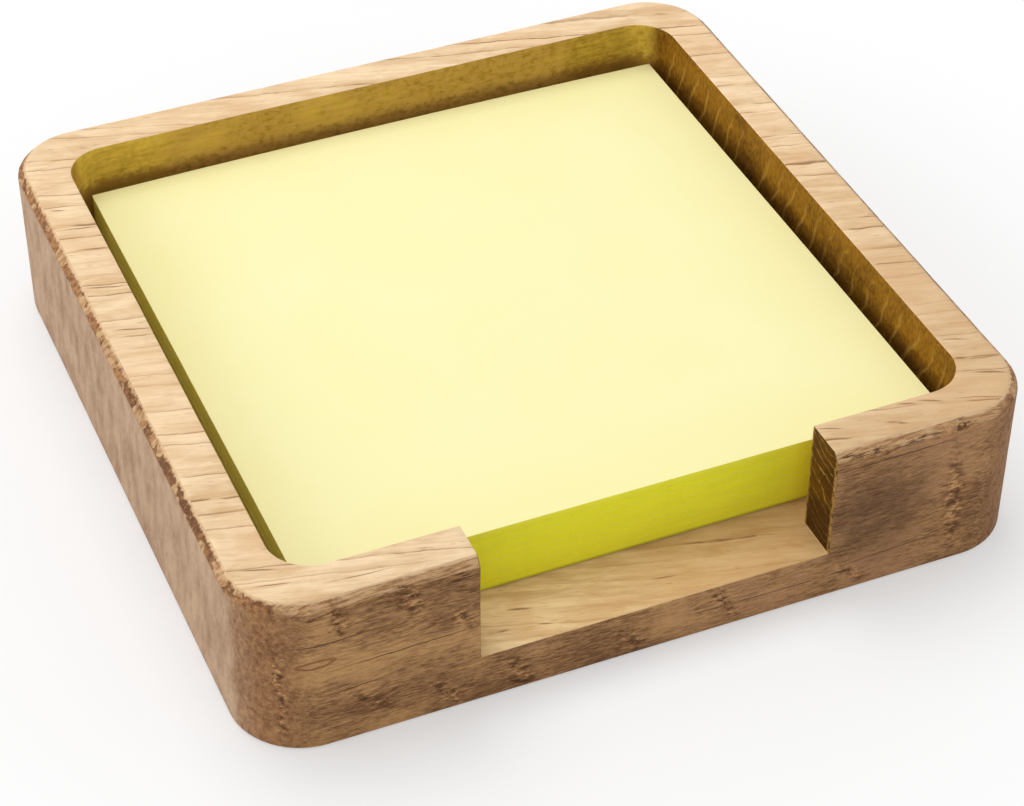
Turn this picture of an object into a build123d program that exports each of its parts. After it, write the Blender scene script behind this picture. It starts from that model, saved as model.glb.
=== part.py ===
"""Desk holder for a pad of adhesive notes, milled from one oak board.

Millimetres, +Z up. The origin is the middle of the tray's underside, and the finger notch faces -Y.
Every sheet of the pad is a solid of its own. The notes are numbered from the top of the pad down.
"""
import os

from build123d import *

# The pad of notes
note_width = 76.0  # along X
note_depth = 76.0  # along Y, from the free front edge to the glued back edge
sheet_thickness = 0.105
notes_per_group = 10
group_count = 8

# The room that the pocket leaves the pad
pocket_play_x = 4.5
pocket_play_y = 4.9
gap_right = 1.6  # pad to pocket wall: its corner then lies close to the rounded corner of the pocket
gap_back = 1.5

# The oak tray
side_wall = 6.0
end_wall = 5.8
floor_thickness = 6.4
pocket_depth = 14.0
outer_corner_radius = 8.3
pocket_corner_radius = 5.0
rim_chamfer = 1.0
base_edge_chamfer = 0.3
notch_width = 41.2
sill_edge_chamfer = 0.25

# Worked out from the sizes above
pocket_width = note_width + pocket_play_x
pocket_length = note_depth + pocket_play_y
tray_width = pocket_width + 2 * side_wall
tray_length = pocket_length + 2 * end_wall
tray_height = floor_thickness + pocket_depth
tray_front = -tray_length / 2
pad_centre_x = pocket_width / 2 - gap_right - note_width / 2
pad_centre_y = pocket_length / 2 - gap_back - note_depth / 2


def oak_tray():
    """The milled board: rounded block, pocket, finger notch, and the edges that were eased."""
    outline = RectangleRounded(tray_width, tray_length, outer_corner_radius)
    board = extrude(outline, tray_height)
    board = chamfer(board.faces().sort_by(Axis.Z)[-1].edges(), rim_chamfer)
    board = chamfer(board.faces().sort_by(Axis.Z)[0].edges(), base_edge_chamfer)

    pocket_outline = RectangleRounded(pocket_width, pocket_length, pocket_corner_radius)
    board -= Pos(Z=floor_thickness) * extrude(pocket_outline, pocket_depth)

    # The notch runs from the front face into the pocket, past the wall, so that no skin is left between them.
    notch_length = end_wall + pocket_corner_radius
    notch = Box(notch_width, notch_length, pocket_depth, align=(Align.CENTER, Align.MIN, Align.MIN))
    board -= Pos(Y=tray_front, Z=floor_thickness) * notch

    sill_edge = board.edges().filter_by(Axis.X).sort_by_distance((0, tray_front, floor_thickness))[0]
    return chamfer(sill_edge, sill_edge_chamfer)


def sheet(level):
    """One sheet of the pad. Level 0 is the backing sheet, which lies on the pocket floor."""
    low = floor_thickness + level * sheet_thickness
    return Pos(pad_centre_x, pad_centre_y, low) * extrude(Rectangle(note_width, note_depth), sheet_thickness)


def note_groups():
    """The notes under the top one, as groups of separate sheets, named by their numbers from the top."""
    note_count = 1 + group_count * notes_per_group
    groups = {}
    for group in range(group_count):
        first = 2 + group * notes_per_group
        last = first + notes_per_group - 1
        levels = [note_count + 1 - number for number in range(first, last + 1)]
        groups[f"notes_{first:02d}_{last:02d}"] = Compound([sheet(level).solid() for level in levels])
    return groups


def all_pieces():
    top_level = 1 + group_count * notes_per_group
    pieces = {
        "oak_tray": oak_tray(),
        "backing_sheet": sheet(0),
        "top_sheet": sheet(top_level),
    }
    pieces.update(note_groups())
    return pieces


os.makedirs("parts", exist_ok=True)
for name, piece in all_pieces().items():
    export_step(piece, f"parts/{name}.step")
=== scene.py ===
"""Milled oak tray with a pad of adhesive notes: finishes, note stack, stage and camera.

Every length is in metres unless a name ends in _mm. The tray stands on z = 0 and its finger notch faces -Y.
"""
import math

import bmesh
import bpy
from bpy.props import FloatProperty, FloatVectorProperty, IntProperty, PointerProperty
from bpy.types import Operator, Panel, PropertyGroup
from mathutils import Matrix, Vector, noise


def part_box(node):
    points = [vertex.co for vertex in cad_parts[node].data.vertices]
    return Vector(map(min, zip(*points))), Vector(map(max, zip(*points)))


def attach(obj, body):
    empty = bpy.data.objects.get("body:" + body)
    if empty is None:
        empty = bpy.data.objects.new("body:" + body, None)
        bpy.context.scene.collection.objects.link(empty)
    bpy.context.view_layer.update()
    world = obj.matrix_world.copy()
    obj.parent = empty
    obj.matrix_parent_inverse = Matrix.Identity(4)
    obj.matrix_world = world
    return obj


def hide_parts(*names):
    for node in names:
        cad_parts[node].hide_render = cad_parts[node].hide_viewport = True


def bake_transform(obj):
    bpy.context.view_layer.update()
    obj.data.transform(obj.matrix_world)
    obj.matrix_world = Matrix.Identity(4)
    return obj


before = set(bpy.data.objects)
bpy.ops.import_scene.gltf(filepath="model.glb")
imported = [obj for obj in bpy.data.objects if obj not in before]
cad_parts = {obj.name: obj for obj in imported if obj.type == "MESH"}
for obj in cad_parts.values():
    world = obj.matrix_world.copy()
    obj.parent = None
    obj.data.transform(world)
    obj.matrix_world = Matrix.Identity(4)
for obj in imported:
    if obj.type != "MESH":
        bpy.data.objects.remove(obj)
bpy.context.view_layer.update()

bl_info = {
    "name": "Oak Memo Tray",
    "version": (1, 0, 0),
    "blender": (4, 5, 0),
    "location": "View3D > Sidebar > Memo Tray",
    "description": "Builds a milled oak tray, its pad of adhesive notes and a plain stage",
    "category": "Object",
}

MM = 0.001

# ---------------------------------------------------------------- sizes that come from the frame

TRAY_LOW, TRAY_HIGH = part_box("oak_tray")
BACKING_LOW, BACKING_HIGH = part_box("backing_sheet")
TOP_LOW, TOP_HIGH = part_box("top_sheet")
NOTE_NODES = sorted(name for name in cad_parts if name.startswith("notes_"))
SHEET_THICKNESS = TOP_HIGH.z - TOP_LOW.z
NOTE_SIZE = TOP_HIGH.x - TOP_LOW.x
NOTE_HALF = NOTE_SIZE / 2
PAD_X = (TOP_LOW.x + TOP_HIGH.x) / 2
PAD_Y = (TOP_LOW.y + TOP_HIGH.y) / 2
PAD_HEIGHT = TOP_HIGH.z - BACKING_LOW.z
NOTES_IN_STACK = round((TOP_LOW.z - BACKING_HIGH.z) / SHEET_THICKNESS)

# The tray's own cuts, which the bounding box does not give
OUTER_RADIUS = 8.3 * MM
POCKET_RADIUS = 5.0 * MM
SIDE_WALL = 6.0 * MM
END_WALL = 5.8 * MM
RIM_CHAMFER = 1.0 * MM
BASE_CHAMFER = 0.3 * MM
NOTCH_HALF = 20.6 * MM
FLOOR_Z = BACKING_LOW.z


def linear(red, green, blue, alpha=1.0):
    """A colour written as screen values from 0 to 255, as the linear values that sockets take."""
    def channel(value):
        share = value / 255
        return share / 12.92 if share <= 0.04045 else ((share + 0.055) / 1.055) ** 2.4
    return (channel(red), channel(green), channel(blue), alpha)


# ---------------------------------------------------------------- node helpers

class Field:
    """A number or colour that varies over a surface: a node's output, with ordinary arithmetic."""

    def __init__(self, tree, socket):
        self.tree = tree
        self.socket = socket

    def math(self, operation, *values):
        node = self.tree.nodes.new("ShaderNodeMath")
        node.operation = operation
        for socket, value in zip(node.inputs, (self, *values)):
            give(self.tree, socket, value)
        return Field(self.tree, node.outputs[0])

    def __add__(self, other):
        return self.math("ADD", other)

    def __sub__(self, other):
        return self.math("SUBTRACT", other)

    def __mul__(self, other):
        return self.math("MULTIPLY", other)

    def __truediv__(self, other):
        return self.math("DIVIDE", other)

    def size(self):
        return self.math("ABSOLUTE")

    def rest(self):
        """What is missing to 1."""
        return self.math("MULTIPLY_ADD", -1.0, 1.0)

    def between(self, low, high):
        """0 below low, 1 above high and smooth in between. A high under low turns it round."""
        node = self.tree.nodes.new("ShaderNodeMapRange")
        node.interpolation_type = "SMOOTHSTEP"
        give(self.tree, node.inputs["Value"], self)
        turned = low > high
        node.inputs["From Min"].default_value = min(low, high)
        node.inputs["From Max"].default_value = max(low, high)
        node.inputs["To Min"].default_value = 1.0 if turned else 0.0
        node.inputs["To Max"].default_value = 0.0 if turned else 1.0
        return Field(self.tree, node.outputs["Result"])


def give(tree, socket, value):
    """Links a Field or a node's first output to a socket, or sets the socket's own value."""
    if isinstance(value, Field):
        tree.links.new(value.socket, socket)
    elif isinstance(value, bpy.types.Node):
        tree.links.new(value.outputs[0], socket)
    else:
        socket.default_value = value


def node_with(tree, kind, inputs=None, **settings):
    node = tree.nodes.new(kind)
    for name, value in settings.items():
        setattr(node, name, value)
    for name, value in (inputs or {}).items():
        give(tree, node.inputs[name], value)
    return node


def combine(tree, x, y, z):
    node = tree.nodes.new("ShaderNodeCombineXYZ")
    for socket, value in zip(node.inputs, (x, y, z)):
        give(tree, socket, value)
    return Field(tree, node.outputs[0])


def separate(tree, vector):
    node = node_with(tree, "ShaderNodeSeparateXYZ", {"Vector": vector})
    return [Field(tree, output) for output in node.outputs]


def cloud(tree, x, y, z, detail=2.0, roughness=0.5, distortion=0.0):
    """Soft noise from 0 to 1 whose lumps are about one unit wide."""
    node = node_with(tree, "ShaderNodeTexNoise",
                     {"Vector": combine(tree, x, y, z), "Scale": 1.0, "Detail": detail, "Roughness": roughness,
                      "Distortion": distortion})
    return Field(tree, node.outputs["Fac"])


def cells(tree, vector, randomness=1.0):
    """Distance to the nearest of scattered points, about one for each unit cube, and that point's own number."""
    node = node_with(tree, "ShaderNodeTexVoronoi", {"Vector": vector, "Scale": 1.0, "Randomness": randomness})
    number = node_with(tree, "ShaderNodeSeparateColor", {"Color": Field(tree, node.outputs["Color"])})
    return Field(tree, node.outputs["Distance"]), Field(tree, number.outputs[0])


def blend_colours(tree, share, first, second):
    node = tree.nodes.new("ShaderNodeMix")
    node.data_type = "RGBA"
    node.clamp_factor = True
    give(tree, node.inputs[0], share)
    give(tree, node.inputs[6], first)
    give(tree, node.inputs[7], second)
    return Field(tree, node.outputs[2])


def layered(tree, colour, *layers):
    """The colour with others laid over it in turn, each given as its share and itself."""
    for share, over in layers:
        colour = blend_colours(tree, share, colour, over)
    return colour


def coordinates(tree, scale, kind="Object"):
    """Object coordinates, or another kind, as three Fields multiplied by scale."""
    parts = separate(tree, Field(tree, tree.nodes.new("ShaderNodeTexCoord").outputs[kind]))
    return [part * scale for part in parts] if scale != 1 else parts


def bump(tree, height, distance, strength=1.0):
    node = node_with(tree, "ShaderNodeBump", {"Height": height, "Distance": distance, "Strength": strength})
    return Field(tree, node.outputs["Normal"])


def new_material(name):
    """An empty material and its tree, with a Principled shader on the output."""
    material = bpy.data.materials.new(name)
    material.use_nodes = True
    tree = material.node_tree
    tree.nodes.clear()
    shader = tree.nodes.new("ShaderNodeBsdfPrincipled")
    output = tree.nodes.new("ShaderNodeOutputMaterial")
    tree.links.new(shader.outputs[0], output.inputs["Surface"])
    return material, tree, shader


# ---------------------------------------------------------------- settings

class TraySettings(PropertyGroup):
    edge_round: FloatProperty(
        name="Edge Round", description="Width of the worn round on each cut edge",
        default=0.22 * MM, min=0, unit="LENGTH", precision=5)
    edge_wander: FloatProperty(
        name="Edge Wander", description="How far hand sanding lets an edge wander",
        default=0.06 * MM, min=0, unit="LENGTH", precision=5)
    ring_spacing: FloatProperty(
        name="Ring Spacing", description="Mean width of a growth ring",
        default=3.6 * MM, min=0, unit="LENGTH", precision=5)
    ring_tilt: FloatProperty(
        name="Ring Tilt", description="Tilt of the growth rings from upright",
        default=math.radians(9), subtype="ANGLE")
    grain_lean: FloatProperty(
        name="Grain Lean", description="Lean of the grain from the notch side, seen from above",
        default=math.radians(-14.5), subtype="ANGLE")
    pale: FloatVectorProperty(
        name="Pale Oak", description="Late wood on the sanded faces that look up",
        subtype="COLOR", size=4, min=0, max=1, default=linear(252, 224, 184))
    tan: FloatVectorProperty(
        name="Tan Oak", description="Darker side of each ring on those faces",
        subtype="COLOR", size=4, min=0, max=1, default=linear(210, 170, 122))
    line: FloatVectorProperty(
        name="Ring Line", description="Early wood line at the start of each ring",
        subtype="COLOR", size=4, min=0, max=1, default=linear(136, 90, 52))
    face_light: FloatVectorProperty(
        name="Light Face", description="Light fibres of the upright long-grain faces",
        subtype="COLOR", size=4, min=0, max=1, default=linear(198, 152, 102))
    face_dark: FloatVectorProperty(
        name="Dark Face", description="Dark fibres of the upright long-grain faces",
        subtype="COLOR", size=4, min=0, max=1, default=linear(112, 76, 48))


class PadSettings(PropertyGroup):
    shuffle: FloatProperty(
        name="Shuffle", description="How far a sheet lies out of line with its neighbours",
        default=0.015 * MM, min=0, unit="LENGTH", precision=5)
    dip: FloatProperty(
        name="Corner Dip", description="How far the pad's back corners hang below its middle",
        default=0.3 * MM, min=0, unit="LENGTH", precision=5)
    seed: IntProperty(
        name="Seed", description="Number that fixes the sheets' small offsets", default=7, min=0)
    paper: FloatVectorProperty(
        name="Paper", description="Face of a note", subtype="COLOR", size=4, min=0, max=1,
        default=linear(254, 248, 192))
    cut: FloatVectorProperty(
        name="Cut Edge", description="Cut sides of the pad", subtype="COLOR", size=4,
        min=0, max=1, default=linear(252, 250, 46))
    backing: FloatVectorProperty(
        name="Backing", description="Coated sheet under the pad", subtype="COLOR",
        size=4, min=0, max=1, default=linear(240, 239, 228))


class StageSettings(PropertyGroup):
    floor: FloatVectorProperty(
        name="Floor", description="Colour of the sweep under the tray", subtype="COLOR",
        size=4, min=0, max=1, default=linear(248, 248, 248))
    key_power: FloatProperty(
        name="Key Power", description="Power of the large lamp overhead", default=1.94, min=0, unit="POWER")
    fill_power: FloatProperty(
        name="Fill Power", description="Power of the lamp at the left", default=1.1, min=0, unit="POWER")
    sky: FloatProperty(
        name="Sky", description="Strength of the even light from all round", default=0.60, min=0)


# ---------------------------------------------------------------- oak

# Flecked patches on the notch side, where the saw crossed a ray. In mm: middle x, middle z, half length,
# half width, and how far the patch leans from the grain, in degrees.
FLECKS_MM = (
    (-36.2, 17.3, 3.2, 1.1, -78),
    (-28.4, 17.6, 3.4, 1.6, -66),
    (-24.4, 2.6, 3.6, 0.8, -48),
    (-33.4, 5.2, 4.2, 0.7, -36),
    (-16.2, 2.9, 3.8, 1.1, -50),
    (-3.2, 2.4, 3.0, 1.1, -56),
    (8.0, 3.8, 4.0, 1.0, -58),
    (35.8, 9.0, 9.5, 1.3, -87),
    (-42.6, 8.0, 8.0, 0.4, -88),
    (-22.6, 12.6, 2.2, 1.0, -50),
    (35.2, 19.7, 3.4, 0.8, 3),
    (25.4, 19.4, 3.2, 0.7, -6),
    (23.5, 2.6, 3.0, 0.8, -35),
)
# Short bundles of dark pores under the rim, and long single cracks along the grain, in the same terms
PORE_BUNDLES_MM = (
    (-22.4, 18.8, 1.9, 0.60, 5),
    (-30.0, 19.4, 2.0, 0.25, 5),
    (22.9, 19.7, 2.2, 0.34, -4),
    (30.4, 19.5, 3.0, 0.22, 2),
    (-38.4, 18.7, 1.6, 0.3, 8),
    (-16.4, 1.5, 1.6, 0.5, -30),
)
CRACKS_MM = (
    (-36.5, 14.9, 5.6, 0.10, 2.0),
    (-28.6, 11.0, 9.0, 0.085, 1.2),
    (28.5, 18.1, 7.2, 0.11, 0.5),
    (-34.5, 7.6, 3.4, 0.09, 3.0),
    (12.0, 3.2, 8.0, 0.07, -1.0),
    (29.0, 4.4, 6.0, 0.08, 2.5),
)
# An oval ring mark, as its outer and its inner edge, each with the share of it that is full
OVAL_MM = (
    ((-38.9, 12.2, 2.3, 0.62, 6), 0.9),
    ((-38.9, 12.2, 1.9, 0.36, 6), 0.6),
)
# The darker wood right of the notch
DEEP_PATCH_MM = ((26.5, 10.5, 8.0, 7.0, 70),)
# Short open grain lines on the rim and the ledge: middle x, middle y, and the rest in the same terms
RIM_LINES_MM = (
    (42.2, -33.5, 1.7, 0.15, -20),
    (41.0, -36.6, 0.9, 0.22, -19),
    (43.1, -37.2, 1.8, 0.12, -18),
    (42.7, -40.1, 2.1, 0.17, -19),
    (31.6, -41.2, 1.1, 0.18, -22),
    (34.2, -41.8, 1.5, 0.18, -24),
    (39.4, -43.3, 3.2, 0.09, -21),
    (29.1, -43.6, 1.3, 0.18, -22),
    (21.9, -41.7, 1.6, 0.12, -23),
    (-41.9, 20.6, 1.8, 0.16, -14),
    (-42.6, 25.1, 2.6, 0.12, -11),
    (-42.7, 13.0, 2.6, 0.12, -16),
    (-42.2, 4.4, 2.3, 0.14, -17),
    (-43.8, 29.7, 1.0, 0.12, -17),
    (-42.2, -38.9, 1.9, 0.14, -19),
    (-41.4, -41.5, 2.2, 0.12, -13),
    (-33.0, -43.6, 3.6, 0.10, -4),
    (-14.2, -41.2, 1.5, 0.20, -12),
    (-17.4, -43.4, 1.2, 0.16, -10),
    (-12.4, -44.2, 0.9, 0.12, -16),
    (9.6, -39.4, 3.4, 0.24, -15),
    (14.2, -40.6, 2.6, 0.16, -13),
    (2.4, -42.6, 1.4, 0.12, -14),
)


def patches(tree, place, shapes, core):
    """1 on each of the listed ellipses and 0 away from them. core is the share of each that is full."""
    whole = None
    for middle_x, middle_z, half_length, half_width, lean in shapes:
        mapped = node_with(tree, "ShaderNodeMapping", {"Vector": place}, vector_type="TEXTURE")
        mapped.inputs["Location"].default_value = (middle_x, 0.0, middle_z)
        mapped.inputs["Rotation"].default_value = (0.0, math.radians(-lean), 0.0)
        mapped.inputs["Scale"].default_value = (half_length, 1000.0, half_width)
        length = node_with(tree, "ShaderNodeVectorMath", {0: Field(tree, mapped.outputs[0])}, operation="LENGTH")
        one = Field(tree, length.outputs["Value"]).between(1.0 + (1.0 - core) * 0.5, core)
        whole = one if whole is None else whole.math("MAXIMUM", one)
    return whole


class Grain:
    """The oak at a point, in mm. The grain runs along X, or leans from it, and radial counts across the rings."""

    def __init__(self, tree, settings, lean=0.0):
        self.tree = tree
        self.spacing = settings.ring_spacing / MM
        self.x, self.y, self.z = coordinates(tree, 1000.0)
        self.lean_x, self.lean_y, self.lean_z = coordinates(tree, 1, "Normal")
        z = self.z
        self.along = self.x * math.cos(lean) + self.y * math.sin(lean) if lean else self.x
        self.across = self.y * math.cos(lean) - self.x * math.sin(lean) if lean else self.y
        drift = cloud(tree, self.along * 0.018, self.across * 0.05, z * 0.06, detail=1.0) - 0.5
        self.ripple = cloud(tree, self.along * 0.11, self.across * 0.32, z * 0.32) - 0.5
        quiver = cloud(tree, self.along * 0.40, self.across * 0.55, z * 0.5, detail=1.0) - 0.5
        self.radial = (self.across + z * math.tan(settings.ring_tilt) + drift * 6.0 + self.ripple * 1.0
                       + quiver * 0.5)

    def rings(self):
        """The brown line that starts each ring, the pale wood after it, and the noise that breaks the line up."""
        tree = self.tree
        uneven = cloud(tree, self.radial * 0.22, 0.0, 0.0, detail=0.0) * 2.2
        place = self.radial / self.spacing + uneven
        own = node_with(tree, "ShaderNodeTexWhiteNoise", {"W": place.math("FLOOR")}, noise_dimensions="1D")
        own = Field(tree, own.outputs["Value"])
        turn = place.math("FRACT")
        broken = cloud(tree, self.along * 0.26, self.radial * 0.9, self.z * 0.9)
        line = turn.between(0.0, 0.02) * turn.between(0.13, 0.04) * broken.between(0.36, 0.52)
        return line * (own * 0.75 + 0.25), turn.between(0.02, 0.55), broken

    def fibre(self, along, across):
        """Fine streaks along the grain."""
        return cloud(self.tree, self.along * along, self.across * across,
                     (self.z + self.ripple * 1.1) * across * 0.9, detail=4.0, roughness=0.72)

    def dashes(self, along, across, reach):
        """Open pores: dashes on long grain, dots on end grain."""
        place = combine(self.tree, self.along * along, self.across * across, (self.z + self.ripple) * across)
        distance, number = cells(self.tree, place)
        return (distance - number * reach).between(0.12, 0.0)

    def mottle(self):
        return cloud(self.tree, self.x, self.y * 2.1, self.z * 1.2, detail=3.0, roughness=0.65)


def finish_oak(tree, shader, colour, fibre, relief):
    """Matt oiled wood with the given colour and relief."""
    give(tree, shader.inputs["Base Color"], colour)
    give(tree, shader.inputs["Roughness"], fibre * 0.2 + 0.55)
    shader.inputs["Specular IOR Level"].default_value = 0.12
    give(tree, shader.inputs["Normal"], bump(tree, relief, 0.16 * MM, 0.85))


# Colours of the rim and the ledge, apart from those in the settings
BLUSH = linear(228, 180, 132)
# Painted shade: the rim's colour towards the front right, where the light falls off
RIM_PAINTED_SHADE = linear(194, 152, 102)
LEDGE_PALE = linear(255, 224, 174)
LEDGE_TAN = linear(196, 150, 98)
# Painted shade: the ledge's colour towards its right, where the right cheek's shadow falls
LEDGE_PAINTED_SHADE = linear(182, 136, 75)
OPEN_LINE = linear(138, 94, 58)
FLAT_PORE = linear(146, 104, 66)


def flat_oak(name, settings, pale, tan, deep, painted_shade_share, line_strength):
    """Oak on faces that look up: soft bands, a brown line for each ring, and a few pores.

    It darkens towards the notch end of the right wall, by the share given for it: painted shade where the light
    falls off towards the front right.
    """
    material, tree, shader = new_material(name)
    grain = Grain(tree, settings, settings.grain_lean)
    x, y, z = grain.x, grain.y, grain.z
    line, late, broken = grain.rings()
    line = line * line_strength
    fibre = grain.fibre(0.22, 3.4)
    bands = cloud(tree, grain.along * 0.06, grain.radial * 0.9, z * 0.9, detail=4.0, roughness=0.62)
    tone = cloud(tree, x * 0.08, y * 0.06, z * 0.1)
    figure = cloud(tree, grain.along * 0.16, grain.across * 0.42, z * 0.4, detail=3.0, roughness=0.6, distortion=0.6)
    pore = grain.dashes(0.5, 3.2, 0.26)
    place = combine(tree, x + grain.ripple, 0.0, y + grain.ripple * 1.2)
    open_lines = patches(tree, place, RIM_LINES_MM, 0.4)

    share = bands.between(0.34, 0.62) * 0.34 + late * 0.24 + fibre.between(0.34, 0.64) * 0.22
    share = share + figure.between(0.32, 0.66) * 0.38 - 0.08
    colour = layered(
        tree, blend_colours(tree, share, tan, pale),
        (tone.between(0.44, 0.64) * 0.30, BLUSH),
        # Painted shade towards the front right
        ((x - y * 1.3).between(20.0, 95.0) * painted_shade_share, deep),
        (line * 0.85, tuple(settings.line)),
        (open_lines * broken.between(0.30, 0.44) * 0.75, OPEN_LINE),
        (pore * broken.between(0.52, 0.64) * 0.35, FLAT_PORE))
    finish_oak(tree, shader, colour, fibre, fibre * 0.45 - line * 0.35)
    return material


def upright_oak(name, settings):
    """Oak on the outer walls, the eased rim and the base: streaked long grain, flecked rays, and mauve end grain."""
    material, tree, shader = new_material(name)
    grain = Grain(tree, settings)
    x, y, z = grain.x, grain.y, grain.z
    sideways = grain.lean_x.size()
    end_grain = sideways.between(0.74, 0.96)
    eased = grain.lean_z.between(0.3, 0.5)
    corner = sideways.between(0.15, 0.5) * sideways.between(0.995, 0.93)
    on_front = grain.lean_y.between(-0.45, -0.75)
    below = grain.lean_z.between(-0.5, -0.9)

    fibre = grain.fibre(0.40, 4.2)
    hair = grain.fibre(0.9, 7.5)
    mottle = grain.mottle()
    tone = cloud(tree, x * 0.085, y * 0.05, z * 0.13, detail=3.0, roughness=0.55)
    torn = cloud(tree, x * 0.55, y * 0.5, z * 0.9, detail=3.0, roughness=0.65) - 0.5
    blot = cloud(tree, x * 0.75, y * 1.5, z * 1.6, detail=4.0, roughness=0.72)
    # shade and gleam are painted shade and painted highlight side by side, standing in for the small relief of
    # flecks and torn fibres
    shade = blot.between(0.49, 0.43)
    gleam = blot.between(0.54, 0.60)

    # Marks that stand where the real board has them
    flecks = patches(tree, combine(tree, x + torn * 3.0, 0.0, z + torn * 2.0), FLECKS_MM, 0.35) * on_front
    elsewhere = cloud(tree, x * 0.16 + z * 0.10, y * 0.05, z * 0.05).between(0.58, 0.68)
    elsewhere = elsewhere * on_front.rest() * below.rest() * sideways.between(0.9, 0.5)
    flecks = flecks.math("MAXIMUM", elsewhere * 0.8)
    near = combine(tree, x + torn * 0.8, 0.0, z + torn * 0.35)
    bundles = patches(tree, near, PORE_BUNDLES_MM, 0.5) * grain.lean_y.between(-0.3, -0.6)
    cracks = patches(tree, near, CRACKS_MM, 0.35) * on_front
    outer, inner = (patches(tree, near, (shape,), core) for shape, core in OVAL_MM)
    oval = outer * inner.rest() * on_front
    deep = patches(tree, combine(tree, x + torn * 5.0, 0.0, z + torn * 3.0), DEEP_PATCH_MM, 0.3)

    # Long grain, calmer on the base and the back than on the notch side
    share = fibre.between(0.34, 0.64) * 0.50 + tone.between(0.34, 0.66) * 0.54 + hair.between(0.42, 0.58) * 0.44
    colour = blend_colours(tree, share - 0.25, tuple(settings.face_dark), tuple(settings.face_light))
    warm = blend_colours(tree, x.between(12.0, -6.0), linear(170, 124, 98), linear(206, 160, 104))
    calm = blend_colours(tree, fibre.between(0.34, 0.64), linear(146, 108, 72), linear(192, 148, 102))
    colour = layered(
        tree, colour,
        (tone.between(0.50, 0.62) * 0.34, warm),
        (deep * on_front * 0.50, linear(88, 60, 42)),
        (below * 0.6 + grain.lean_y.between(0.45, 0.75) * 0.3, calm))

    # End grain, and the corners where one turns into the other
    streaks = cloud(tree, x * 0.2, y * 0.50 + z * 0.12, z * 0.20, detail=3.0, roughness=0.58)
    share = streaks.between(0.32, 0.66) * 0.60 + mottle.between(0.32, 0.68) * 0.35 + tone.between(0.36, 0.64) * 0.15
    end_colour = layered(
        tree, blend_colours(tree, share, linear(160, 126, 98), linear(198, 166, 136)),
        (streaks.between(0.38, 0.30) * 0.3, linear(136, 98, 70)))
    ruddy = blend_colours(tree, mottle.between(0.34, 0.66), linear(122, 80, 50), linear(170, 124, 84))
    colour = layered(
        tree, colour,
        (end_grain, end_colour),
        (corner * 0.66, ruddy),
        (corner * gleam * 0.14, linear(214, 166, 120)),
        (corner * shade * 0.20, linear(88, 54, 34)))

    # The eased rim: long grain stays light, end grain tears into brown scales
    turned = sideways.between(0.22, 0.5)
    share = fibre.between(0.38, 0.60) * turned.rest() + (mottle.between(0.40, 0.56) * 0.7 + 0.2) * turned
    facet = blend_colours(tree, share, linear(164, 116, 76), linear(222, 184, 138))
    block = cloud(tree, x * 0.34, y * 0.34, z * 0.5, detail=2.0, roughness=0.55)
    scales = eased * turned * block.between(0.44, 0.48) * (z + mottle * 0.7).between(20.55, 20.4)
    scale_colour = blend_colours(tree, tone.between(0.40, 0.60), linear(108, 66, 40), linear(164, 114, 74))
    scale_colour = layered(
        tree, scale_colour,
        (block.between(0.53, 0.47) * 0.6, linear(96, 60, 36)),
        (shade * 0.60, linear(72, 42, 26)),
        (gleam * 0.35, linear(206, 158, 108)))
    # Painted highlight: a thin light line along the top edge of the eased rim
    painted_edge_highlight = eased * (z + mottle * 0.3).between(20.3, 20.42)
    colour = layered(
        tree, colour,
        (eased * 0.80, facet),
        (scales * 0.9, scale_colour),
        (painted_edge_highlight * 0.60, linear(240, 206, 164)))

    # The marks lie over wall and rim alike
    colour = layered(
        tree, colour,
        (flecks * 0.30, linear(132, 88, 52)),
        (flecks * gleam * 0.60, linear(226, 174, 118)),
        (flecks * shade * 0.80, linear(78, 48, 26)),
        (cracks * 0.8, linear(66, 38, 22)),
        (oval * 0.65, linear(112, 58, 34)),
        (bundles * fibre.between(0.56, 0.44) * 0.9, linear(74, 42, 22)))
    smooth_end = sideways.between(0.95, 0.3) * 0.75 + 0.25
    finish_oak(tree, shader, colour, fibre, (fibre * 0.55 + hair * 0.35) * smooth_end)
    return material


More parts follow.
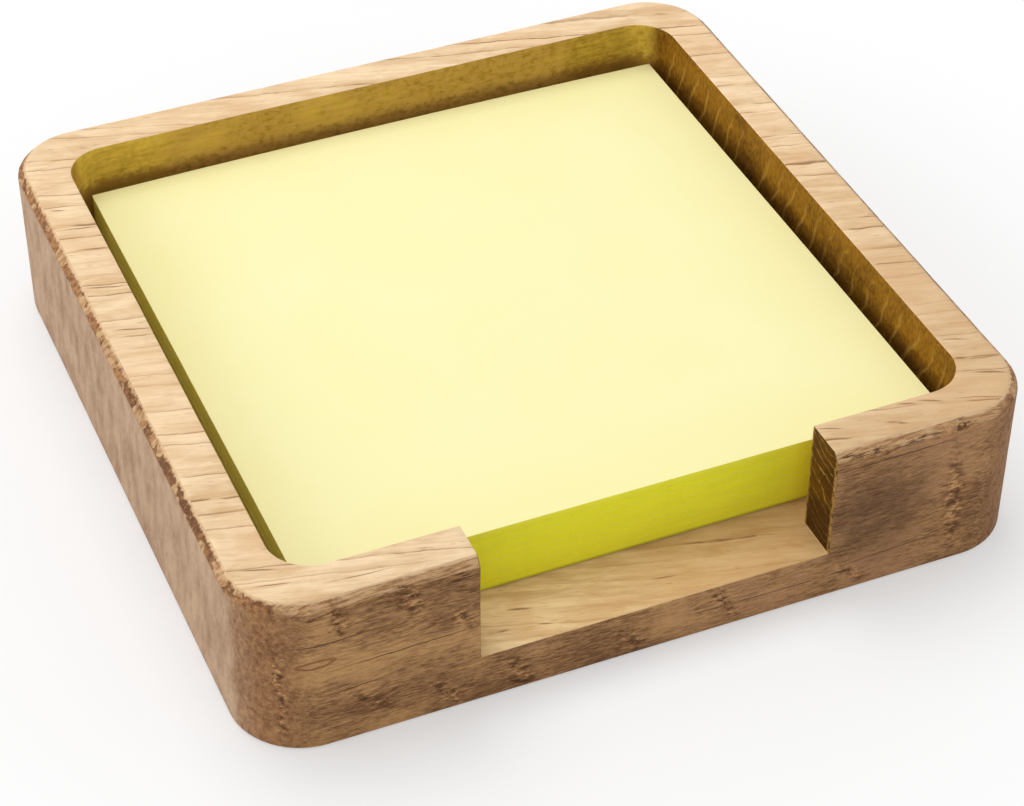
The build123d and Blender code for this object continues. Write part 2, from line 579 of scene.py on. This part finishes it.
def milled_oak(name, settings):
    """Oak on the cutter's walls, which took up more oil, tinted olive-yellow partly by painted reflection of the
    yellow pad. End grain there shows pale rays.
    """
    material, tree, shader = new_material(name)
    grain = Grain(tree, settings)
    y, z = grain.y, grain.z
    end_grain = grain.lean_x.size().between(0.6, 0.9)
    in_notch = grain.x.size().between(30.0, 25.0)
    in_pocket = in_notch.rest()
    fibre = grain.fibre(0.24, 2.6)
    mottle = grain.mottle()
    tone = cloud(tree, grain.x * 0.09, y * 0.09, z * 0.16, detail=3.0)
    # low marks painted shade: the pocket's walls darker and browner below the top of the pad
    low = (z + mottle * 3.0).between(18.0, 16.4)

    # Long grain of the walls: oak mixed with painted reflection of the yellow pad. The pocket's front wall is kept
    # plain oak
    share = fibre.between(0.34, 0.64) * 0.30 + mottle.between(0.34, 0.66) * 0.25 + tone.between(0.34, 0.66) * 0.6
    colour = layered(
        tree, blend_colours(tree, share - 0.05, linear(160, 126, 38), linear(232, 196, 80)),
        # Painted shade below the top of the pad
        (low * 0.60, linear(142, 92, 42)),
        (y.between(-38.8, -40.3) * 0.6, linear(186, 144, 90)))

    # End grain of the walls: oak mixed with painted reflection of the yellow pad
    share = mottle.between(0.34, 0.66) * 0.5 + tone.between(0.34, 0.66) * 0.5
    # The notch's cheeks are darker towards the bottom, with fainter rays there
    low_on_cheeks = in_notch * (z + y * 0.35).between(-2.2, -4.2)
    end_colour = layered(
        tree, blend_colours(tree, share, linear(90, 55, 9), linear(160, 112, 25)),
        # More painted shade below the top of the pad, on the pocket's end grain
        (low * in_pocket * 0.45, linear(72, 42, 14)),
        (in_notch * 0.66, linear(60, 31, 3)),
        (low_on_cheeks * 0.6, linear(50, 27, 6)),
        (grain.x.between(-38.0, -40.0) * 0.5, linear(206, 164, 84)))

    # Rays: long lines on the notch's cheeks, short strokes low on the pocket's walls
    turn = (z * 0.66 - y * 0.17 + tone * 5.0 + grain.ripple * 1.2).math("FRACT")
    rays = turn.between(0.0, 0.05) * turn.between(0.20, 0.06) * in_notch * (low_on_cheeks * -0.6 + 1.0)
    rays = rays * (mottle.between(0.36, 0.60) * 0.7 + 0.3)
    turn = (y * 0.30 + z * 0.10 + tone * 1.4).math("FRACT")
    strokes = turn.between(0.0, 0.08) * turn.between(0.24, 0.10) * tone.between(0.40, 0.56)
    strokes = strokes * in_pocket * z.between(19.4, 17.4)
    end_colour = layered(tree, end_colour, (rays.math("MAXIMUM", strokes * 0.6) * 0.6, linear(206, 164, 78)))
    edges = y.between(-45.5, -46.0).math("MAXIMUM", y.between(-41.0, -40.7))
    colour = layered(
        tree, colour,
        (end_grain, end_colour),
        (in_notch * edges * mottle.between(0.36, 0.54) * 0.55, linear(204, 158, 84)))
    finish_oak(tree, shader, colour, fibre, fibre * 0.4 + mottle * 0.3)
    return material


# How finely the tray's mesh is divided: round an outline, and from one height to the next
SIDE_STEPS = 76
NOTCH_STEPS = 41
FLANK_STEPS = 17
CORNER_STEPS = 14
SILL_ROWS = 4
WALL_ROWS = 9
RIM_ROWS = 5


def rounded_outline(half_x, half_y, radius):
    """Points round a rounded rectangle, anticlockwise from the notch's left cheek.

    The front side is split at the notch, so two outlines join point to point.
    """
    points = []
    flat_x = half_x - radius
    flat_y = half_y - radius

    def run(start, end, steps):
        for step in range(steps):
            points.append(Vector(start).lerp(Vector(end), step / steps))

    def corner(centre, from_degrees):
        for step in range(CORNER_STEPS):
            angle = math.radians(from_degrees + 90 * step / CORNER_STEPS)
            points.append(Vector(centre) + radius * Vector((math.cos(angle), math.sin(angle))))

    run((-NOTCH_HALF, -half_y), (NOTCH_HALF, -half_y), NOTCH_STEPS)
    run((NOTCH_HALF, -half_y), (flat_x, -half_y), FLANK_STEPS)
    corner((flat_x, -flat_y), -90)
    run((half_x, -flat_y), (half_x, flat_y), SIDE_STEPS)
    corner((flat_x, flat_y), 0)
    run((flat_x, half_y), (-flat_x, half_y), SIDE_STEPS)
    corner((-flat_x, flat_y), 90)
    run((-half_x, flat_y), (-half_x, -flat_y), SIDE_STEPS)
    corner((-flat_x, -flat_y), 180)
    run((-flat_x, -half_y), (-NOTCH_HALF, -half_y), FLANK_STEPS)
    return points


def tray_mesh():
    """The milled block as one closed mesh: rings of points from the base, over the rim, to the pocket floor.

    Faces of the pocket and notch get the second material.
    """
    half = (TRAY_HIGH - TRAY_LOW) / 2
    height = TRAY_HIGH.z

    def outer(inset):
        return rounded_outline(half.x - inset, half.y - inset, OUTER_RADIUS - inset)

    pocket = rounded_outline(half.x - SIDE_WALL, half.y - END_WALL, POCKET_RADIUS)
    rim_edge = outer(RIM_CHAMFER)
    count = len(rim_edge)
    mesh = bmesh.new()

    def ring(outline, z):
        return [mesh.verts.new((point.x, point.y, z)) for point in outline]

    below_sill = [ring(outer(BASE_CHAMFER), 0.0), ring(outer(0.0), BASE_CHAMFER)]
    for step in range(1, SILL_ROWS + 1):
        below_sill.append(ring(outer(0.0), BASE_CHAMFER + (FLOOR_Z - BASE_CHAMFER) * step / SILL_ROWS))
    wall_top = height - RIM_CHAMFER
    sanded = [below_sill[-1]]
    for step in range(1, WALL_ROWS + 1):
        sanded.append(ring(outer(0.0), FLOOR_Z + (wall_top - FLOOR_Z) * step / WALL_ROWS))
    sanded.append(ring(rim_edge, height))
    for step in range(1, RIM_ROWS + 1):
        sanded.append(ring([a.lerp(b, step / RIM_ROWS) for a, b in zip(rim_edge, pocket)], height))
    milled = [sanded[-1]]
    for step in range(1, WALL_ROWS + 1):
        milled.append(ring(pocket, height + (FLOOR_Z - height) * step / WALL_ROWS))

    def skin(rings, columns, material):
        for low, high in zip(rings, rings[1:]):
            for column in columns:
                after = (column + 1) % count
                mesh.faces.new((low[column], low[after], high[after], high[column])).material_index = material

    skin(below_sill, range(count), 0)
    skin(sanded, range(NOTCH_STEPS, count), 0)
    skin(milled, range(NOTCH_STEPS, count), 1)
    mesh.faces.new(reversed(below_sill[0]))

    # The notch: two cheeks, and one floor that runs from the sill into the pocket
    profile = sanded + milled[1:]
    mesh.faces.new([row[NOTCH_STEPS] for row in profile]).material_index = 1
    mesh.faces.new([row[0] for row in reversed(profile)]).material_index = 1
    sill = below_sill[-1][:NOTCH_STEPS + 1]
    pocket_edge = profile[-1][NOTCH_STEPS:] + profile[-1][:1]
    mesh.faces.new(sill + pocket_edge).material_index = 1

    unused = [vertex for row in profile[1:] for vertex in row[1:NOTCH_STEPS]]
    bmesh.ops.delete(mesh, geom=unused, context="VERTS")
    bmesh.ops.recalc_face_normals(mesh, faces=mesh.faces)
    data = bpy.data.meshes.new("oak_block")
    mesh.to_mesh(data)
    mesh.free()
    return data


# The long and the short wander of a hand-sanded edge, and the seed that makes it the same on every run
WANDER_SCALES = ((9.0 * MM, 0.6), (2.6 * MM, 0.4))
WANDER_SEED = 5
# Edges sharper than the first angle are worn round, and shading breaks at the second
WORN_ANGLE = math.radians(35)
CREASE_ANGLE = math.radians(28)


def wander_edges(data, amount):
    """Moves every point a little, as hand sanding does, but leaves the base and the pocket floor flat."""
    noise.seed_set(WANDER_SEED)
    for vertex in data.vertices:
        if vertex.co.z < FLOOR_Z + 0.1 * MM:
            continue
        shift = sum((noise.noise_vector(vertex.co / scale) * share for scale, share in WANDER_SCALES), Vector())
        moved = vertex.co + shift * amount
        for axis in range(3):
            moved[axis] = min(max(moved[axis], TRAY_LOW[axis]), TRAY_HIGH[axis])
        vertex.co = moved


def apply_modifiers(piece):
    """Replaces the piece's mesh by what its modifiers make of it."""
    bpy.context.view_layer.update()
    graph = bpy.context.evaluated_depsgraph_get()
    made = bpy.data.meshes.new_from_object(piece.evaluated_get(graph), depsgraph=graph)
    piece.modifiers.clear()
    piece.data = made


def new_piece(name, data, *materials):
    piece = bpy.data.objects.new(name, data)
    bpy.context.scene.collection.objects.link(piece)
    for material in materials:
        data.materials.append(material)
    return piece


class MEMOTRAY_OT_oak_tray(Operator):
    """Builds the milled oak block with its worn edges"""
    bl_idname = "memotray.oak_tray"
    bl_label = "Oak Tray"

    def execute(self, context):
        settings = context.scene.memotray_tray
        data = tray_mesh()
        wander_edges(data, settings.edge_wander)
        rim = flat_oak("sanded_rim_oak", settings, tuple(settings.pale), tuple(settings.tan), RIM_PAINTED_SHADE, 0.44, 1.0)
        ledge = flat_oak("milled_floor_oak", settings, LEDGE_PALE, LEDGE_TAN, LEDGE_PAINTED_SHADE, 0.66, 0.10)
        piece = new_piece("tray_block", data, upright_oak("sanded_side_oak", settings),
                          milled_oak("milled_wall_oak", settings), rim, ledge)
        rounding = piece.modifiers.new("worn_edges", "BEVEL")
        rounding.width = settings.edge_round
        rounding.segments = 2
        rounding.limit_method = "ANGLE"
        rounding.angle_limit = WORN_ANGLE
        apply_modifiers(piece)
        piece.data.shade_smooth()
        piece.data.set_sharp_from_angle(angle=CREASE_ANGLE)
        for face in piece.data.polygons:
            if face.normal.z > 0.9:
                face.material_index += 2
            # The base and the pocket floor are one large face each, which smooth shading would ripple
            if abs(face.normal.z) > 0.99 and face.center.z < FLOOR_Z + 0.05 * MM:
                face.use_smooth = False
        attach(piece, "tray")
        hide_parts("oak_tray")
        return {"FINISHED"}


# ---------------------------------------------------------------- notes

GLUE_BAND = 19.0 * MM


def paper_material(name, settings, from_attribute=False):
    """Face of a note: cloudy pulp and a faint tooth. Its underside has a duller band of glue along the back."""
    material, tree, shader = new_material(name)
    if from_attribute:
        source = node_with(tree, "ShaderNodeAttribute", attribute_name="sheet_place")
        x, y, _ = [part * 1000.0 for part in separate(tree, Field(tree, source.outputs["Vector"]))]
    else:
        x, y, _ = coordinates(tree, 1000.0)
    pulp = cloud(tree, x * 0.07, y * 0.07, 4.0, detail=3.0)
    tooth = cloud(tree, x * 4.0, y * 4.0, 8.0, detail=3.0, roughness=0.7)
    rim = (x - PAD_X / MM).size().math("MAXIMUM", (y - PAD_Y / MM).size()).between(NOTE_HALF / MM - 14.0,
                                                                                  NOTE_HALF / MM)
    paper = tuple(settings.paper)
    deeper = tuple(v * m for v, m in zip(paper, (0.985, 0.97, 0.84, 1.0)))
    share = pulp.between(0.3, 0.7) * 0.35 + tooth * 0.2 + rim * 0.45
    colour = blend_colours(tree, share, paper, deeper)
    _, _, looks = coordinates(tree, 1, "Normal")
    glue_start = (TOP_HIGH.y - GLUE_BAND) / MM
    dots = cells(tree, combine(tree, x * 3.2, y * 3.2, 1.0))[0].between(0.55, 0.3)
    glue = y.between(glue_start - 0.3, glue_start + 0.3) * looks.between(0.0, -0.3)
    colour = blend_colours(tree, glue * (dots * 0.35 + 0.25), colour, linear(238, 228, 132))
    give(tree, shader.inputs["Base Color"], colour)
    give(tree, shader.inputs["Roughness"], tooth * 0.1 + 0.78 - glue * 0.3)
    shader.inputs["Specular IOR Level"].default_value = 0.15
    give(tree, shader.inputs["Normal"], bump(tree, tooth + glue * dots * 0.8, 0.015 * MM, 0.5))
    return material


def cut_edge_material(settings):
    """Cut sides of the pad: deep yellow, a faint streak for each sheet or two, and marks of the knife, with painted
    light under the top and painted shadow along the bottom.
    """
    material, tree, shader = new_material("note_cut_edge")
    x, y, z = coordinates(tree, 1000.0)
    layer = cloud(tree, x * 0.05, y * 0.05, z * 7.0, detail=3.0, roughness=0.7)
    smudge = cloud(tree, x * 0.16, y * 0.16, z * 0.5, detail=3.0)
    knife = cloud(tree, x * 1.6, y * 1.6, z * 0.1).between(0.56, 0.70)
    cut = tuple(settings.cut)
    dark = tuple(v * m for v, m in zip(cut, (0.80, 0.80, 0.6, 1.0)))
    share = layer.between(0.3, 0.7) * 0.09 + smudge.between(0.3, 0.7) * 0.22 + 0.72 - knife * 0.10
    colour = blend_colours(tree, share, dark, cut)
    # Painted light: the cut sides lighter just under the top, as light shining through the top sheets would make
    # them
    painted_top_glow = z.between(TOP_HIGH.z / MM - 0.9, TOP_HIGH.z / MM - 0.1)
    colour = blend_colours(tree, painted_top_glow * 0.55, colour, linear(255, 253, 84))
    # Painted shadow: dark along the bottom of the pad and on the backing's edge, where the pad meets the ledge
    painted_contact_shadow = z.between(BACKING_HIGH.z / MM + 0.5, BACKING_HIGH.z / MM)
    colour = blend_colours(tree, painted_contact_shadow * 0.55, colour, linear(120, 96, 30))
    give(tree, shader.inputs["Base Color"], colour)
    shader.inputs["Roughness"].default_value = 0.75
    shader.inputs["Specular IOR Level"].default_value = 0.15
    give(tree, shader.inputs["Normal"], bump(tree, layer - knife * 0.3, 0.02 * MM, 0.4))
    return material


def backing_material(settings):
    """Coated sheet that closes the pad underneath: off-white, slightly waxy, with duller patches in the pulp."""
    material, tree, shader = new_material("coated_backing")
    x, y, z = coordinates(tree, 1000.0)
    pulp = cloud(tree, x * 0.2, y * 0.2, z * 0.2, detail=4.0, roughness=0.6)
    wax = cloud(tree, x * 0.9, y * 0.9, z, detail=3.0, roughness=0.6)
    backing = tuple(settings.backing)
    dull = tuple(v * m for v, m in zip(backing, (0.93, 0.92, 0.85, 1.0)))
    give(tree, shader.inputs["Base Color"], blend_colours(tree, pulp.between(0.3, 0.7), dull, backing))
    give(tree, shader.inputs["Roughness"], wax * 0.25 + 0.32)
    shader.inputs["Specular IOR Level"].default_value = 0.4
    give(tree, shader.inputs["Normal"], bump(tree, wax, 0.02 * MM, 0.4))
    return material


def hang(x, y):
    """How far the pad hangs at a place, as a share of the full dip: most at its two back corners."""
    across = (x - PAD_X) / NOTE_HALF
    back = min(max(((y - PAD_Y) / NOTE_HALF + 0.4) / 1.4, 0.0), 1.0)
    return across * across * (0.2 + 0.8 * back * back * (3 - 2 * back))


# Points along each side of a note in the stack
NOTE_POINTS = 13


def stack_tree():
    """Geometry nodes that lay the notes on one another, each a little out of line, and let the corners hang."""
    tree = bpy.data.node_groups.new("note_stack", "GeometryNodeTree")
    for name, kind in (("Notes", "NodeSocketInt"), ("Note Size", "NodeSocketFloat"),
                       ("Thickness", "NodeSocketFloat"), ("Lowest Middle", "NodeSocketVector"),
                       ("Shuffle", "NodeSocketFloat"), ("Dip", "NodeSocketFloat"), ("Seed", "NodeSocketInt"),
                       ("Face", "NodeSocketMaterial"), ("Cut Edge", "NodeSocketMaterial")):
        tree.interface.new_socket(name=name, in_out="INPUT", socket_type=kind)
    tree.interface.new_socket(name="Stack", in_out="OUTPUT", socket_type="NodeSocketGeometry")
    source = tree.nodes.new("NodeGroupInput")

    def given(name):
        return Field(tree, source.outputs[name])

    thickness, size, shuffle = given("Thickness"), given("Note Size"), given("Shuffle")
    places = node_with(tree, "GeometryNodeMeshLine",
                       {"Count": given("Notes"), "Start Location": given("Lowest Middle"),
                        "Offset": combine(tree, 0.0, 0.0, thickness)}, mode="OFFSET")
    note = node_with(tree, "GeometryNodeMeshCube",
                     {"Size": combine(tree, size, size, thickness * 0.95), "Vertices X": NOTE_POINTS,
                      "Vertices Y": NOTE_POINTS, "Vertices Z": 2})
    laid = node_with(tree, "GeometryNodeInstanceOnPoints", {"Points": places, "Instance": note})
    offset = tree.nodes.new("FunctionNodeRandomValue")
    offset.data_type = "FLOAT_VECTOR"
    give(tree, offset.inputs["Min"], combine(tree, shuffle * -1.0, shuffle * -1.0, 0.0))
    give(tree, offset.inputs["Max"], combine(tree, shuffle, shuffle, 0.0))
    give(tree, offset.inputs["Seed"], given("Seed"))
    moved = node_with(tree, "GeometryNodeTranslateInstances", {"Instances": laid, "Translation": offset})
    real = node_with(tree, "GeometryNodeRealizeInstances", {"Geometry": moved})

    # The same rule as hang(), less towards the bottom of the pad
    x, y, z = separate(tree, tree.nodes.new("GeometryNodeInputPosition"))
    across = (x - PAD_X) / NOTE_HALF
    back = ((y - PAD_Y) / NOTE_HALF).between(-0.4, 1.0)
    fall = across * across * (back * 0.8 + 0.2) * given("Dip") * ((z - BACKING_LOW.z) / PAD_HEIGHT)
    hung = node_with(tree, "GeometryNodeSetPosition",
                     {"Geometry": real, "Offset": combine(tree, 0.0, 0.0, fall * -1.0)})
    edged = node_with(tree, "GeometryNodeSetMaterial", {"Geometry": hung, "Material": given("Cut Edge")})
    looks = separate(tree, tree.nodes.new("GeometryNodeInputNormal"))[2]
    faced = node_with(tree, "GeometryNodeSetMaterial",
                      {"Geometry": edged, "Selection": looks.size().math("GREATER_THAN", 0.5),
                       "Material": given("Face")})
    out = tree.nodes.new("NodeGroupOutput")
    tree.links.new(faced.outputs[0], out.inputs["Stack"])
    return tree


def sheet_mesh(low, high, steps, thin, dip):
    """One sheet as a closed mesh with steps by steps squares on each face, hung like the pad.

    The attribute sheet_place keeps each point's place at rest. Cut sides get the second material.
    """
    mesh = bmesh.new()
    middle = (low.z + high.z) / 2
    half = (high.z - low.z) / 2 * thin
    layers = []
    for z in (middle - half, middle + half):
        rows = []
        for j in range(steps + 1):
            y = low.y + (high.y - low.y) * j / steps
            row = []
            for i in range(steps + 1):
                x = low.x + (high.x - low.x) * i / steps
                fall = dip * hang(x, y) * (z - BACKING_LOW.z) / PAD_HEIGHT
                row.append(mesh.verts.new((x, y, z - fall)))
            rows.append(row)
        layers.append(rows)
    bottom, top = layers
    for j in range(steps):
        for i in range(steps):
            mesh.faces.new((top[j][i], top[j][i + 1], top[j + 1][i + 1], top[j + 1][i]))
            mesh.faces.new((bottom[j][i], bottom[j + 1][i], bottom[j + 1][i + 1], bottom[j][i + 1]))
    last = steps
    loop = ([(0, i) for i in range(last)] + [(j, last) for j in range(last)]
            + [(last, i) for i in range(last, 0, -1)] + [(j, 0) for j in range(last, 0, -1)])
    for (j, i), (j2, i2) in zip(loop, loop[1:] + loop[:1]):
        mesh.faces.new((bottom[j][i], bottom[j2][i2], top[j2][i2], top[j][i])).material_index = 1
    bmesh.ops.recalc_face_normals(mesh, faces=mesh.faces)
    data = bpy.data.meshes.new("sheet")
    mesh.to_mesh(data)
    mesh.free()
    place = data.attributes.new("sheet_place", "FLOAT_VECTOR", "POINT")
    for vertex, item in zip(data.vertices, place.data):
        item.vector = vertex.co
    return data


class MEMOTRAY_OT_note_stack(Operator):
    """Lays the notes under the top one"""
    bl_idname = "memotray.note_stack"
    bl_label = "Note Stack"

    def execute(self, context):
        settings = context.scene.memotray_pad
        piece = new_piece("note_stack", bpy.data.meshes.new("note_stack"))
        layer = piece.modifiers.new("layers", "NODES")
        layer.node_group = stack_tree()
        lowest = (PAD_X, PAD_Y, BACKING_HIGH.z + SHEET_THICKNESS / 2)
        values = {"Notes": NOTES_IN_STACK, "Note Size": NOTE_SIZE - 2 * settings.shuffle,
                  "Thickness": SHEET_THICKNESS, "Lowest Middle": lowest, "Shuffle": settings.shuffle,
                  "Dip": settings.dip, "Seed": settings.seed, "Face": paper_material("note_paper", settings),
                  "Cut Edge": cut_edge_material(settings)}
        for socket in layer.node_group.interface.items_tree:
            if socket.in_out == "INPUT":
                layer[socket.identifier] = values[socket.name]
        apply_modifiers(piece)
        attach(piece, "memo_pad")
        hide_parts(*NOTE_NODES)
        return {"FINISHED"}


class MEMOTRAY_OT_backing_sheet(Operator):
    """Builds the coated sheet under the pad"""
    bl_idname = "memotray.backing_sheet"
    bl_label = "Backing Sheet"

    def execute(self, context):
        settings = context.scene.memotray_pad
        inset = Vector((0.2 * MM, 0.2 * MM, 0.0))
        data = sheet_mesh(BACKING_LOW + inset, BACKING_HIGH - inset, 24, 0.97, settings.dip)
        piece = new_piece("backing_sheet_coated", data, backing_material(settings), cut_edge_material(settings))
        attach(piece, "memo_pad")
        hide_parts("backing_sheet")
        return {"FINISHED"}


class MEMOTRAY_OT_top_note(Operator):
    """Builds the note on top"""
    bl_idname = "memotray.top_note"
    bl_label = "Top Note"

    def execute(self, context):
        settings = context.scene.memotray_pad
        data = sheet_mesh(TOP_LOW, TOP_HIGH, 76, 0.95, settings.dip)
        piece = new_piece("top_note", data, paper_material("top_note_paper", settings, from_attribute=True),
                          cut_edge_material(settings))
        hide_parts("top_sheet")
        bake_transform(piece)
        return {"FINISHED"}


# ---------------------------------------------------------------- stage

CAMERA_PLACE = Vector((-0.09982, -0.23898, 0.21493))
CAMERA_FORWARD = Vector((0.28198, 0.71468, -0.64010))
CAMERA_UP = Vector((0.24880, 0.58988, 0.76821))
FOCAL_PIXELS = 2784.1
IMAGE_WIDTH = 1024
AXIS_COLUMN = 450.0


# Each lamp's name, place, aim and size, and the setting that holds its power
LAMPS = (
    ("overhead_softbox", (-0.08, 0.22, 0.62), (0, 0, 0), 0.55, "key_power"),
    ("left_fill", (-0.75, 0.05, 0.35), (0, 0, 0.01), 0.5, "fill_power"),
)
SWEEP_SIZE = 6.0


def make_camera():
    data = bpy.data.cameras.new("camera")
    data.sensor_width = 36.0
    data.lens = FOCAL_PIXELS / IMAGE_WIDTH * data.sensor_width
    data.shift_x = 0.5 - AXIS_COLUMN / IMAGE_WIDTH
    data.clip_start = 0.01
    data.clip_end = 20.0
    camera = bpy.data.objects.new("camera", data)
    back = -CAMERA_FORWARD.normalized()
    right = CAMERA_UP.cross(back).normalized()
    up = back.cross(right)
    camera.matrix_world = Matrix.Translation(CAMERA_PLACE) @ Matrix((right, up, back)).transposed().to_4x4()
    bpy.context.scene.collection.objects.link(camera)
    bpy.context.scene.camera = camera


def area_lamp(name, place, target, size, power):
    data = bpy.data.lights.new(name, "AREA")
    data.shape = "DISK"
    data.size = size
    data.energy = power
    lamp = bpy.data.objects.new(name, data)
    lamp.location = place
    lamp.rotation_euler = (Vector(target) - Vector(place)).to_track_quat("-Z", "Y").to_euler()
    bpy.context.scene.collection.objects.link(lamp)


def background_rays(tree):
    """1 for rays that see the background: from the camera, and in gloss and glass."""
    path = tree.nodes.new("ShaderNodeLightPath")
    seen = Field(tree, path.outputs["Is Camera Ray"])
    seen = seen.math("MAXIMUM", Field(tree, path.outputs["Is Glossy Ray"]))
    return seen.math("MAXIMUM", Field(tree, path.outputs["Is Transmission Ray"]))


def floor_material(settings):
    """Pale sweep. It looks lighter than it is, and plain white well away from the tray."""
    material, tree, shader = new_material("pale_sweep")
    x, y, _ = coordinates(tree, 1.0)
    grain = cloud(tree, x * 40.0, y * 40.0, 0.0, detail=3.0)
    floor = tuple(settings.floor)
    give(tree, shader.inputs["Base Color"],
         blend_colours(tree, grain, tuple(v * 0.99 for v in floor[:3]) + (1.0,), floor))
    shader.inputs["Roughness"].default_value = 0.9
    shader.inputs["Specular IOR Level"].default_value = 0.1
    away = (x * x + y * y).math("SQRT").between(0.055, 0.105)
    glow = node_with(tree, "ShaderNodeEmission", {"Color": (1, 1, 1, 1), "Strength": 1.0})
    mix = tree.nodes.new("ShaderNodeMixShader")
    give(tree, mix.inputs[0], (away * 0.58 + 0.42) * background_rays(tree))
    tree.links.new(shader.outputs[0], mix.inputs[1])
    tree.links.new(glow.outputs[0], mix.inputs[2])
    output = next(node for node in tree.nodes if node.type == "OUTPUT_MATERIAL")
    tree.links.new(mix.outputs[0], output.inputs["Surface"])
    return material


def make_world(settings):
    world = bpy.data.worlds.new("soft_white_room")
    world.use_nodes = True
    tree = world.node_tree
    tree.nodes.clear()
    strength = background_rays(tree) * (1.0 - settings.sky) + settings.sky
    background = node_with(tree, "ShaderNodeBackground", {"Color": (1, 1, 1, 1), "Strength": strength})
    output = tree.nodes.new("ShaderNodeOutputWorld")
    tree.links.new(background.outputs[0], output.inputs[0])
    bpy.context.scene.world = world


class MEMOTRAY_OT_stage(Operator):
    """Builds the floor, the lamps, the white room and the camera"""
    bl_idname = "memotray.stage"
    bl_label = "Stage"

    def execute(self, context):
        settings = context.scene.memotray_stage
        bpy.ops.mesh.primitive_plane_add(size=SWEEP_SIZE, location=(0, 0, 0))
        floor = context.active_object
        floor.name = "floor"
        floor.data.materials.append(floor_material(settings))
        for name, place, target, size, power in LAMPS:
            area_lamp(name, place, target, size, getattr(settings, power))
        make_world(settings)
        make_camera()
        context.scene.view_settings.view_transform = "Standard"
        return {"FINISHED"}


# ---------------------------------------------------------------- panel and registration

PANEL_ROWS = (
    ("memotray_tray", ("memotray.oak_tray",)),
    ("memotray_pad", ("memotray.backing_sheet", "memotray.note_stack", "memotray.top_note")),
    ("memotray_stage", ("memotray.stage",)),
)


class MEMOTRAY_PT_panel(Panel):
    bl_label = "Memo Tray"
    bl_space_type = "VIEW_3D"
    bl_region_type = "UI"
    bl_category = "Memo Tray"

    def draw(self, context):
        for name, operators in PANEL_ROWS:
            box = self.layout.box()
            group = getattr(context.scene, name)
            for setting in group.__annotations__:
                box.prop(group, setting)
            for operator in operators:
                box.operator(operator)


CLASSES = (
    TraySettings, PadSettings, StageSettings, MEMOTRAY_OT_oak_tray, MEMOTRAY_OT_backing_sheet,
    MEMOTRAY_OT_note_stack, MEMOTRAY_OT_top_note, MEMOTRAY_OT_stage, MEMOTRAY_PT_panel,
)


def register():
    for item in CLASSES:
        bpy.utils.register_class(item)
    bpy.types.Scene.memotray_tray = PointerProperty(type=TraySettings)
    bpy.types.Scene.memotray_pad = PointerProperty(type=PadSettings)
    bpy.types.Scene.memotray_stage = PointerProperty(type=StageSettings)


def unregister():
    del bpy.types.Scene.memotray_tray
    del bpy.types.Scene.memotray_pad
    del bpy.types.Scene.memotray_stage
    for item in reversed(CLASSES):
        bpy.utils.unregister_class(item)


def main():
    register()
    bpy.ops.memotray.oak_tray()
    bpy.ops.memotray.backing_sheet()
    bpy.ops.memotray.note_stack()
    bpy.ops.memotray.top_note()
    bpy.ops.memotray.stage()


if __name__ == "__main__":
    main()
